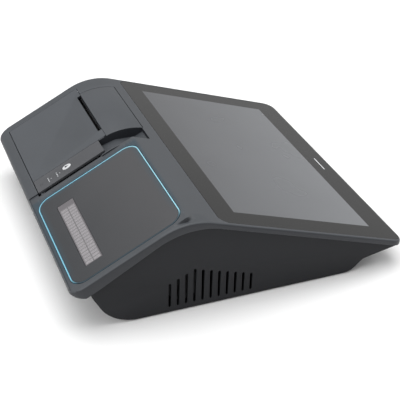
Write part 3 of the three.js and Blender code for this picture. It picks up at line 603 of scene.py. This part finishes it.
# ----------------------------------------------------------------------------------------------
# Top shell

def two_planes(y, corner_y, corner_z, radius):
    """Height of the screen plane and the rear plane where they meet in a rounded corner."""
    reach = radius * math.tan((TILT + SLOPE) / 2)
    first = corner_y - reach * math.cos(TILT)
    if y <= first:
        return corner_z - (corner_y - y) * math.tan(TILT)
    if y >= corner_y + reach * math.cos(SLOPE):
        return corner_z - (y - corner_y) * math.tan(SLOPE)
    centre_y = first + radius * math.sin(TILT)
    centre_z = corner_z - reach * math.sin(TILT) - radius * math.cos(TILT)
    return centre_z + math.sqrt(radius ** 2 - (y - centre_y) ** 2)


DECK_Y = (REAR_Z + DEPTH * math.tan(SLOPE) + DECK_N / math.cos(SLOPE) - FRONT_Z) \
    / (math.tan(TILT) + math.tan(SLOPE))
DECK_Z = FRONT_Z + DECK_Y * math.tan(TILT)


def step(value, low, high):
    t = min(1.0, max(0.0, (value - low) / (high - low)))
    return t * t * (3 - 2 * t)


def top_height(x, y):
    """The outer surface: the rounded ridge, with the flat deck of the contactless panel on it.

    The deck stands above the rounded ridge and lies below the rear plane lower down. Beside the
    screen it runs out into the side in a soft curve, and beside the panel in a crisp wall."""
    base = two_planes(y, RIDGE_Y, RIDGE_Z, RIDGE_R)
    rise = two_planes(y, DECK_Y, DECK_Z, 3.0) - base
    if rise > 0:
        crisp = step(y, 203.5, 212.5)
        top = -137.5 + crisp * -8.6
        foot = -147.4 + crisp * 0.3
        share = step(x, foot, top)
        run_out = 22.0 + (5.4 - 22.0) * step(y, 188.0, 197.0)
        share *= 1 - step(x, 4.6, run_out)
    else:
        share = step(x, -148.1, -147.7) * (1 - step(x, 9.0, 9.3))
        share *= 1 - step(y, DEPTH - 1.42, DEPTH - 0.7)
    return base + rise * share


def half_width(y):
    """Half the width of the plan outline at a place along its depth."""
    from_end = min(y, DEPTH - y)
    if from_end >= PLAN_R:
        return HALF
    return HALF - PLAN_R + math.sqrt(max(0.0, PLAN_R ** 2 - (PLAN_R - from_end) ** 2))


def edge_distance(x, y):
    """Distance in from the plan outline."""
    across, along = HALF - abs(x), min(y, DEPTH - y)
    if across < PLAN_R and along < PLAN_R:
        return max(0.0, PLAN_R - math.hypot(PLAN_R - across, PLAN_R - along))
    return min(across, along)


def edge_drop(x, y):
    d = edge_distance(x, y)
    if d >= EDGE_R:
        return 0.0
    return EDGE_R - math.sqrt(EDGE_R ** 2 - (EDGE_R - d) ** 2)


SEAM_LINE = rounded([(-8, 17.98), (212.2, 90.4, 70), (290.7, 44.8), (301.5, 38.4), (322, 41.3)], 3)


def seam_height(y):
    """Height of the lower edge of the shell's side band."""
    for a, b in zip(SEAM_LINE, SEAM_LINE[1:]):
        if a.x <= y <= b.x:
            return a.y + (b.y - a.y) * (y - a.x) / (b.x - a.x)
    raise ValueError(y)


def spread(*stretches):
    """Places from stretches (low, high, step), in order and without repeats."""
    places = set()
    for low, high, pitch in stretches:
        count = max(1, round((high - low) / pitch))
        places.update(round(low + (high - low) * k / count, 4) for k in range(count + 1))
    return sorted(places)


EDGE_PLACES = [0, 0.06, 0.2, 0.42, 0.72, 1.1, 1.5, 1.9, 2.6, 3.4]


def shell_block(bm):
    """The shell as one solid block between its outer surface and its seam."""
    ys = sorted(set(EDGE_PLACES + [DEPTH - e for e in EDGE_PLACES]
                    + spread((4.4, 12, 1.3), (12, 180, 28), (180, 190, 2.5), (190, 203, 1),
                             (203, 210.5, 0.5), (210.5, 213.5, 0.25), (213.5, 240, 0.75),
                             (240, 302.6, 10), (302.6, DEPTH - 3.6, 1.2))
                    + [DEPTH - 0.72, DEPTH - 1.42]))
    xs = sorted(set([-HALF + e for e in EDGE_PLACES] + [HALF - e for e in EDGE_PLACES]
                    + spread((-148.2, -136, 0.35), (-136, 4, 20), (4.2, 5.4, 0.3), (5.4, 9, 0.9),
                             (8.9, 9.4, 0.1), (9.4, 24, 1.6), (24, 136, 16), (136, 148, 2))))
    flat = HALF - PLAN_R

    def placed(x, y):
        if abs(x) <= flat:
            return x
        share = (half_width(y) - flat) / PLAN_R
        return math.copysign(flat + (abs(x) - flat) * share, x)

    grid = []
    for y in ys:
        row = [(placed(x, y), y) for x in xs]
        grid.append([bm.verts.new((x, y, top_height(x, y) - edge_drop(x, y))) for x, y in row])
    for a, b in zip(grid, grid[1:]):
        for k in range(len(xs) - 1):
            bm.faces.new((a[k], a[k + 1], b[k + 1], b[k]))
    loop = grid[0] + [row[-1] for row in grid[1:]] + list(reversed(grid[-1][:-1]))
    loop += [grid[i][0] for i in range(len(ys) - 2, 0, -1)]
    rim = loop
    for drop, inset in ((0.55, 0.0), (0.2, 0.1), (0.0, 0.4)):
        ring = []
        for v in loop:
            shrink = 1 - inset / HALF
            y = DEPTH / 2 + (v.co.y - DEPTH / 2) * (1 - inset / (DEPTH / 2))
            ring.append(bm.verts.new((v.co.x * shrink, y, seam_height(y) + drop)))
        for k in range(len(ring)):
            j = (k + 1) % len(ring)
            bm.faces.new((rim[k], rim[j], ring[j], ring[k]))
        rim = ring
    width, depth = len(xs), len(ys)
    right = rim[width - 1:width + depth - 1]
    rear = rim[width + depth - 2:2 * width + depth - 2]
    left = [rim[0]] + list(reversed(rim[2 * width + depth - 3:]))
    bm.faces.new(rim[:width] + [right[1], left[1]])
    for i in range(1, depth - 2):
        bm.faces.new((left[i], right[i], right[i + 1], left[i + 1]))
    bm.faces.new([left[-2], right[-2]] + rear)
    bmesh.ops.remove_doubles(bm, verts=bm.verts, dist=2e-4)


def cut(obj, build, matrix, how="DIFFERENCE"):
    return boolean(obj, new_mesh("cutter", build, matrix), how)


def block(x0, x1, y0, y1, z0, z1):
    return prism("z", box_outline(x0, y0, x1, y1), z0, z1)


def recess_outline(grow):
    """Side view of the finger recess beside the cutter cover."""
    return [(SCOOP["front"] - grow, 97), (SCOOP["back"] + grow, 97),
            (SCOOP["back"] + grow, 76 - grow), (222, 82 - grow),
            (SCOOP["front"] + 8, 82 - grow), (SCOOP["front"] - grow, 86)]


def under_ridge(sink):
    """Side view of everything below a surface sunk under the outer one."""
    ys = spread((90, 190, 50), (190, 235.6, 1.9), (235.6, DEPTH, 40))
    top = [(y, two_planes(y, RIDGE_Y, RIDGE_Z - sink * 1.08, RIDGE_R - sink)) for y in ys]
    return [(90, 0)] + top + [(DEPTH, 0)]


def ridge_skin(x0, x1, thick, front, back):
    """A skin that follows the rounded ridge."""
    skin = new_mesh("skin", prism("x", under_ridge(0.0), x0, x1), SIDE)
    cut(skin, prism("x", under_ridge(thick), x0 - 1, x1 + 1), SIDE)
    return cut(skin, block(x0, x1, front, back, 60, 100), SIDE, "INTERSECT")


def top_shell():
    shell = new_mesh("top_shell_moulding", shell_block, SIDE)
    inner_rear = 303.5
    hollow = [(2.8, 23.6), (190.9, 26.2 + 190.9 * math.tan(TILT) - 2.63)]
    hollow += [(y, two_planes(y, RIDGE_Y, RIDGE_Z - 2.7, RIDGE_R - 2.5))
               for y in spread((194, 232, 3.8))]
    hollow += [(inner_rear, REAR_Z + (DEPTH - inner_rear) * math.tan(SLOPE) - 2.81),
               (inner_rear, 41.5), (285, 30), (2.8, 10)]
    cut(shell, prism("x", hollow, -HALF + 2.5, HALF - 2.5), SIDE)

    # Contactless panel's pocket and the opening under it
    pocket = lambda g: box_outline(RING["right"] - 0.9 - g, RING["low"] - 0.9 - g,
                                   RING["left"] + 0.9 + g, RING["high"] + 0.9 + g,
                                   RING["radius"] + g)
    cut(shell, flared(pocket, DECK_N - 2.5, DECK_N, 0.22), REAR)
    cut(shell, block(8.5, 139, 8.4, 106, -20, 0), REAR)

    # Screen seat, pocket and opening
    seat = prism("z", box_outline(-HALF + 1.2, 2, HALF - 1.2, 196, 10.5), -4.6, -1)
    cut(shell, seat, SCREEN, "UNION")
    glass = lambda g: box_outline(-GLASS["half"] - GAP - g, GLASS["low"] - GAP - g,
                                  GLASS["half"] + GAP + g, GLASS["high"] + GAP + g,
                                  GLASS["radius"] + GAP + g)
    cut(shell, flared(glass, -2.4, 0.0, 0.2), SCREEN)
    cut(shell, block(-135.6, 135.6, 19, 179, -20, 3), SCREEN)
    cut(shell, block(-12.3, 12.3, 12.9, 14.7, -6, 0), SCREEN)

    # Openings over the paper bay and the print head, with an undercut at the hinge
    bay = lambda g: box_outline(-LID["far"] - 0.4 - g, LID["low"] - 0.7 - g,
                                -LID["near"] + 0.4 + g, LID["high"] + 0.4 + g, 0.5 + g, 30)
    cut(shell, flared(bay, -12, 0.0, 0.3), REAR)
    lane = lambda g: box_outline(-LID["near"] - 1 - g, LID["low"] - 0.7 - g,
                                 -SCOOP["near"] + g, 86 + g, 0.4 + g, 30)
    cut(shell, flared(lane, -12, 0.0, 0.3), REAR)
    lip = [rear_side(11.1, -0.3), rear_side(9.1, -2.3), rear_side(9.1, -8), rear_side(15.5, -8),
           rear_side(15.5, -0.3)]
    cut(shell, prism("x", lip, SCOOP["near"], LID["far"] + 0.4), SIDE)
    cut(shell, block(COVER["near"] - 0.4, COVER["far"] + 0.4, COVER["front"] - 0.7, 232.4, 70, 100), SIDE)

    # Finger recess: a tub under the skin, then its hollow
    tub = new_mesh("tub", prism("x", recess_outline(1.2), SCOOP["near"] - 1.2, SCOOP["far"] + 1.2), SIDE)
    cut(tub, prism("x", under_ridge(0.0), -HALF, HALF), SIDE, "INTERSECT")
    cut(tub, block(-LID["near"] - 1, -SCOOP["near"], 70, 86, -2.7, 9), REAR)
    cut(tub, prism("x", [(180, 99)] + [p for p in under_ridge(2.7) if 180 < p[0] < 245]
                   + [(245, 70), (245, 99)], COVER["near"] - 0.4, COVER["far"]), SIDE)
    boolean(shell, tub, "UNION")
    cut(shell, prism("x", recess_outline(0.0), SCOOP["near"], SCOOP["far"]), SIDE)

    # Ears for the hinge pins
    y, z = rear_side(*HINGE)
    for x0, x1 in ((STRIP["near"] - 5.5, STRIP["near"] - 1), (LID["far"] + 0.9, LID["far"] + 5.4)):
        cut(shell, block(x0, x1, y - 3.4, y + 3, z - 3.2, z + 1), SIDE, "UNION")
    cut(shell, prism("x", oval(y, z, 1.4, 1.4, 24), STRIP["near"] - 5, LID["far"] + 4.9), SIDE)
    paint(shell, SHELL)
    return settle(shell, "root", "top_shell", slot="shell", weighted=False)


# ----------------------------------------------------------------------------------------------
# Lower housing

VENTS = {"count": 11, "first": 227.8, "pitch": 7.62, "wide": 2.3, "low": 6.6, "peak": 3}
SOCKETS = {"power_inlet": (74, 14, 12), "usb_socket": (96, 15, 8.4),
           "network_socket": (118, 16, 13.4), "drawer_socket": (140, 13, 12)}
SOCKET_FLOOR = 13.9
SWITCH = {"y": 52, "z": 23, "radius": 4.5}
PLATE = {"half": 90, "front": 84, "back": 224}


def housing_body(name, inset, lift):
    base = 1.2 + inset
    side = rounded([
        (2.2 + inset, 20.8 + lift),
        (2.2 + inset, 20.8 + (inset - 0.9 if inset else 0)),
        (39.5 + inset * 0.4, 13.1 + inset, 12),
        (51.2 + inset * 0.4, base, 16),
        (279.2 - inset * 0.6, base, 38 - inset),
        (299.2 - inset, 39.4), (299.2 - inset, 39.4 + lift),
        (290.7 - inset, 44.5 + lift), (212.2, 90.1 + lift, 70)], 3)
    side = [p for k, p in enumerate(side) if (p - side[k - 1]).length > 1e-4]
    body = new_mesh(name, prism("x", side, -HALF, HALF), SIDE)
    foot, top = 145.4 - inset, 145.4 - inset + 0.045 * 130
    cut(body, prism("y", [(-foot, 0), (foot, 0), (top, 130), (-top, 130)], 0, DEPTH), SIDE, "INTERSECT")
    edge = HALF - 2.5 - inset
    plan = box_outline(-edge, 1 + inset, edge, 301 - inset, 14 - inset, 4)
    return cut(body, prism("z", plan, 0, 130), SIDE, "INTERSECT")


def lower_housing():
    housing = housing_body("lower_housing_moulding", 0, 0)
    bevel(housing, 1.6, 4, 38)
    inside = housing_body("inside", 2.5, 20)
    boolean(housing, inside)
    for i in range(VENTS["count"]):
        y = VENTS["first"] - VENTS["pitch"] * i
        high = 31.8 + 3.5 * i if i <= VENTS["peak"] else 42.2 - 2.5 * (i - VENTS["peak"])
        half = VENTS["wide"] / 2
        slot = lambda g: box_outline(y - half - g, VENTS["low"] - g, y + half + g, high + g,
                                     half + g - 0.01, 30)
        face = 145.4 + 0.045 * 25
        turned = Matrix(((0, 0, 1, 0), (1, 0, 0, 0), (0, 1, 0, 0), (0, 0, 0, 1)))
        cut(housing, stack([(slot(0.32), -HALF - 2), (slot(0.3), -face - 0.9),
                            (slot(0), -face + 0.7), (slot(0), -138)]), SIDE @ turned)
    half, front, back = PLATE["half"], PLATE["front"], PLATE["back"]
    cut(housing, prism("z", box_outline(-half - GAP, front - GAP, half + GAP, back + GAP, 6), 0, 3), SIDE)
    cut(housing, prism("z", box_outline(-half + 10, front + 10, half - 10, back - 10, 4), 0, 8), SIDE)
    for x in (-126, 126):
        for y in (66, 248):
            cut(housing, prism("z", oval(x, y, 2.8, 2.8, 24), 0, 8), SIDE)
    for y, wide, tall in SOCKETS.values():
        cut(housing, block(140, HALF, y - wide / 2 - GAP, y + wide / 2 + GAP,
                           SOCKET_FLOOR - GAP, SOCKET_FLOOR + tall + GAP), SIDE)
    hole = oval(SWITCH["y"], SWITCH["z"], SWITCH["radius"] + GAP, SWITCH["radius"] + GAP)
    cut(housing, prism("x", hole, 130, HALF), SIDE)
    paint(housing, SHADED_HOUSING)
    return settle(housing, "root", "lower_housing", slot="housing", weighted=False)


# ----------------------------------------------------------------------------------------------
# Screen, contactless panel and customer display

def slab(name, outline_at, low, high, edge, matrix):
    """A plate with rounded upper edges, from outline_at(grow)."""
    rings = [(outline_at(-0.05), low), (outline_at(0), low + 0.05), (outline_at(0), high - edge)]
    for k in range(1, 5):
        a = math.pi / 2 * k / 4
        rings.append((outline_at(-edge * (1 - math.cos(a))), high - edge + edge * math.sin(a)))
    return new_mesh(name, stack(rings), matrix)


def screen():
    outline = lambda g: box_outline(-GLASS["half"] - g, GLASS["low"] - g, GLASS["half"] + g,
                                    GLASS["high"] + g, GLASS["radius"] + g, 4)
    glass = slab("cover_glass", outline, -2.1, -0.1, 0.3, SCREEN)
    paint(glass, GLASS_FACE)
    settle(glass, "root", "touch_glass", slot="screen_glass")
    bar = slab("status_light_mark", lambda g: box_outline(-12 - g, 13.2 - g, 12 + g, 14.4 + g, 0.5, 20),
               -0.14, -0.07, 0.03, SCREEN)
    paint(bar, LENS)
    settle(bar, "root", slot="lens")


def contactless():
    r = RING
    outline = lambda g: box_outline(r["right"] - g, r["low"] - g, r["left"] + g, r["high"] + g,
                                    r["radius"] + g, 3)
    d = DISPLAY
    panel = slab("contactless_face", lambda g: outline(g - 0.9), DECK_N - 2.2, DECK_N, 0.22, REAR)
    window = lambda g: box_outline(d["right"] - g, d["low"] - g, d["left"] + g, d["high"] + g,
                                   0.8 + g, 20)
    cut(panel, flared(window, DECK_N - 1.8, DECK_N, 0.15), REAR)
    cut(panel, block(28.5, 124.5, 22, 36.8, DECK_N - 4, DECK_N - 1), REAR)
    paint(panel, PANEL)
    settle(panel, "root", "contactless_panel", slot="panel")
    ring = slab("ring_light", lambda g: outline(g + 0.48), DECK_N - 2.2, DECK_N + 0.05, 0.2, REAR)
    cut(ring, prism("z", outline(-0.5), DECK_N - 4, DECK_N + 2), REAR)
    paint(ring, RING_LIGHT)
    settle(ring, "root", "light_ring", slot="light")
    face = slab("customer_readout", lambda g: window(g - GAP), DECK_N - 1.5, DECK_N - 0.1, 0.15, REAR)
    paint(face, READOUT)
    settle(face, "root", "display_window", slot="lens")


# ----------------------------------------------------------------------------------------------
# Printer: cutter cover, lid, control strip and keys

def covers():
    back = rear_side(COVER["back_s"], 0)[0]
    cover = ridge_skin(COVER["near"], COVER["far"], COVER["thick"], COVER["front"], back)
    cover.name = "cutter_cover_moulding"
    bevel(cover, 0.35, 3, 40)
    paint(cover, SHELL)
    settle(cover, "root", "cutter_cover", slot="shell", weighted=False)
    lid = cad_copy("printer_lid", "printer_lid_moulding", 0.3, 3)
    paint(lid, SHELL)
    settle(lid, "lid", "printer_lid", slot="shell")
    strip = cad_copy("control_strip", "control_strip_moulding", 0.3, 3)
    paint(strip, STRIP_PLASTIC)
    settle(strip, "lid", "control_strip", slot="shell")


def bar_outline(x, s, half_x, half_s, radius=0.0):
    """A small bar's outline in the rear frame, as a function of how far it grows."""
    return lambda g: box_outline(x - half_x - g, s - half_s - g, x + half_x + g, s + half_s + g,
                                 radius, 30)


def strip_marks():
    """Two signal lights, each with its printed bar and dot, and a dark mark beside them."""
    for node, s in LAMPS.items():
        lamp = slab(node + "_lens", bar_outline(-19, s, 1.55, 0.55, 0.3), -2.4, 0.02, 0.12, REAR)
        paint(lamp, LAMP)
        settle(lamp, "lid", node, slot="lens")
        for k, x in enumerate((-22.1, -15.9)):
            line = slab(f"{node}_line_{k + 1}", bar_outline(x, s, 0.95, 0.45, 0.2),
                        -0.05, 0.02, 0.02, REAR)
            paint(line, LIGHT_PRINT)
            settle(line, "lid", slot="lens")
        dot_outline = lambda g: oval(-19.0, s + 2.9, 0.6 + g, 0.6 + g, 24)
        dot = slab(node + "_mark", dot_outline, -0.05, 0.03, 0.03, REAR)
        paint(dot, LIGHT_PRINT)
        settle(dot, "lid", slot="lens")
    bars = ((-18.6, 18.6, 2.0, 0.35), (-18.6, 16.4, 2.0, 0.35), (-19.6, 17.5, 0.35, 1.1))
    for k, bar in enumerate(bars):
        mark = slab(f"strip_mark_{k + 1}", bar_outline(*bar), -0.05, 0.02, 0.02, REAR)
        paint(mark, DARK_PRINT)
        settle(mark, "lid", slot="shell")


def feed_key():
    """Domed oval key with a printed sheet and arrow."""
    x, s = KEY_AT
    wide, tall, dome = 3.3, 4.6, 1.9
    rings = [(oval(x, s, wide - 0.05, tall - 0.05), -2.9), (oval(x, s, wide, tall), -2.8),
             (oval(x, s, wide, tall), 0.0)]
    for k in range(1, 7):
        a = math.pi / 2 * k / 6
        shrink = dome * (1 - math.cos(a))
        rings.append((oval(x, s, wide - shrink, tall - shrink), 0.55 * math.sin(a)))
    key = new_mesh("feed_key_cap", stack(rings), REAR)
    paint(key, CAP)
    settle(key, "feed_key", "feed_button", slot="button")
    sheet = box_outline(x - 1.2, s - 1.8, x + 1.2, s + 0.7)
    arrow = [(x - 0.8, s + 1.3), (x + 0.8, s + 1.3), (x, s + 2.6)]
    for name, outline in (("feed_mark_sheet", sheet), ("feed_mark_arrow", arrow)):
        mark = new_mesh(name, prism("z", outline, 0.45, 0.575), REAR)
        paint(mark, DARK_PRINT)
        settle(mark, "feed_key", slot="button")


# ----------------------------------------------------------------------------------------------
# Pieces whose CAD shape is right: the paper roll built anew, rounded copies of some, and a material for
# each

FEET = ("foot_front_left", "foot_front_right", "foot_rear_left", "foot_rear_right")
SCREWS = ("cover_screw_1", "cover_screw_2", "cover_screw_3", "cover_screw_4")
KEPT = {
    SHADED_HOUSING: ("bottom_cover",),
    STEEL: SCREWS + ("lcd_bracket", "tear_bar", "printer_frame", "head_spring", "idler_axle",
                     "feed_motor", "hinge_pin_left", "hinge_pin_right", "platen_bracket", "platen_shaft"),
    ALUMINIUM: ("heat_sink", "thermal_head"),
    ACETAL: ("idler_gear", "motor_pinion"),
    INNER: ("character_display", "speaker", "power_switch"),
    BOARD: ("ring_light_board", "antenna_board", "main_board"),
    GLASS_FACE: ("lcd_panel",),
    LENS: ("status_light_bar",),
}


def receipt_roll():
    y, z = ROLL["y"], ROLL["z"]
    for name, node, outer, inner, material, slot in (
            ("receipt_paper", "paper_roll", ROLL["radius"] - 0.1, ROLL["core"] + 0.35, PAPER, "paper"),
            ("card_tube", "roll_core", ROLL["core"] - 0.05, ROLL["core"] - 1, CARD, "card")):
        roll = new_mesh(name, prism("x", oval(y, z, outer, outer, 96), ROLL["near"], ROLL["far"]), SIDE)
        cut(roll, prism("x", oval(y, z, inner, inner, 64), ROLL["near"] - 4, ROLL["far"] + 4), SIDE)
        bevel(roll, 0.2, 2, 40)
        paint(roll, material)
        settle(roll, "roll", node, slot=slot)


def rounded_pieces():
    """Pieces whose edges can be seen from outside or under the open lid."""
    for node in SOCKETS:
        settle(paint(cad_copy(node, node + "_body", 0.25), INNER), "root", node, slot="inner_plastic")
    for node in FEET:
        settle(paint(cad_copy(node, node + "_pad", 0.4), RUBBER), "root", node, slot="rubber")
    settle(paint(cad_copy("power_button", "power_button_cap", 0.35, 3), KEY), "power_key",
           "power_button", slot="inner_plastic")
    settle(paint(cad_copy("platen_gear", "platen_gear_wheel", 0.12), ACETAL), "platen",
           "platen_gear", slot="gear_plastic")
    settle(paint(cad_copy("platen_roller", "platen_roller_sleeve", 0.3), RUBBER), "platen",
           "platen_roller", slot="rubber")
    settle(paint(cad_copy("paper_bucket", "paper_bucket_moulding", 0.35), INNER), "root",
           "paper_bucket", slot="inner_plastic")


def kept_pieces():
    for material, nodes in KEPT.items():
        for node in nodes:
            paint(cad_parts[node], material)


# ----------------------------------------------------------------------------------------------
# Camera, light and floor

def look_from(name, place, back, right, up, lens):
    data = bpy.data.cameras.new(name)
    data.lens = lens
    data.sensor_width = 36.0
    camera = bpy.data.objects.new(name, data)
    bpy.context.scene.collection.objects.link(camera)
    camera.matrix_world = Matrix((
        (right[0], up[0], back[0], place[0]),
        (right[1], up[1], back[1], place[1]),
        (right[2], up[2], back[2], place[2]),
        (0, 0, 0, 1)))
    bpy.context.scene.camera = camera
    return camera


def area_light(name, place, aim, size, power, colour=(1, 1, 1)):
    data = bpy.data.lights.new(name, "AREA")
    data.shape = "RECTANGLE"
    data.size, data.size_y = size
    data.energy = power
    data.color = colour
    light = bpy.data.objects.new(name, data)
    bpy.context.scene.collection.objects.link(light)
    light.location = place
    light.rotation_euler = (Vector(aim) - Vector(place)).to_track_quat("-Z", "Y").to_euler()
    return light


def studio():
    look_from("photo_view", (-0.82883, 0.30602, 0.56011),
              (-0.79508543, 0.30564721, 0.52385011), (-0.35395873, -0.93522297, 0.00843916),
              (0.49249606, -0.17871146, 0.85176866), 93.66)
    world = bpy.data.worlds.new("studio")
    world.use_nodes = True
    world.node_tree.nodes["Background"].inputs["Color"].default_value = (1.0, 1.0, 1.0, 1.0)
    world.node_tree.nodes["Background"].inputs["Strength"].default_value = 0.58
    bpy.context.scene.world = world
    bpy.context.scene.view_settings.view_transform = "Standard"
    area_light("overhead", (0.05, 0.1, 1.5), (0, 0, 0), (1.6, 1.6), 19.0)
    area_light("rear_soft", (-0.5, 1.5, 0.9), (0, 0.1, 0.05), (1.2, 0.9), 9.0)
    area_light("front_soft", (0.5, -1.8, 1.3), (0, 0, 0.05), (1.2, 1.0), 6.0)

    floor = new_mesh("floor", lambda bm: bm.faces.new([bm.verts.new(p) for p in (
        (-3000, -3000, 0), (3000, -3000, 0), (3000, 3000, 0), (-3000, 3000, 0))]), Matrix.Identity(4))
    n = Nodes("pale_floor")
    cloud = n.noise(3.0, 2.0)
    n.set(Base_Color=n.mix(cloud, (0.93, 0.93, 0.93, 1), (0.95, 0.95, 0.95, 1)), Roughness=0.9,
          Specular_IOR_Level=0.1)
    paint(floor, n.material)


top_shell()
lower_housing()
screen()
contactless()
covers()
strip_marks()
feed_key()
receipt_roll()
rounded_pieces()
kept_pieces()
studio()
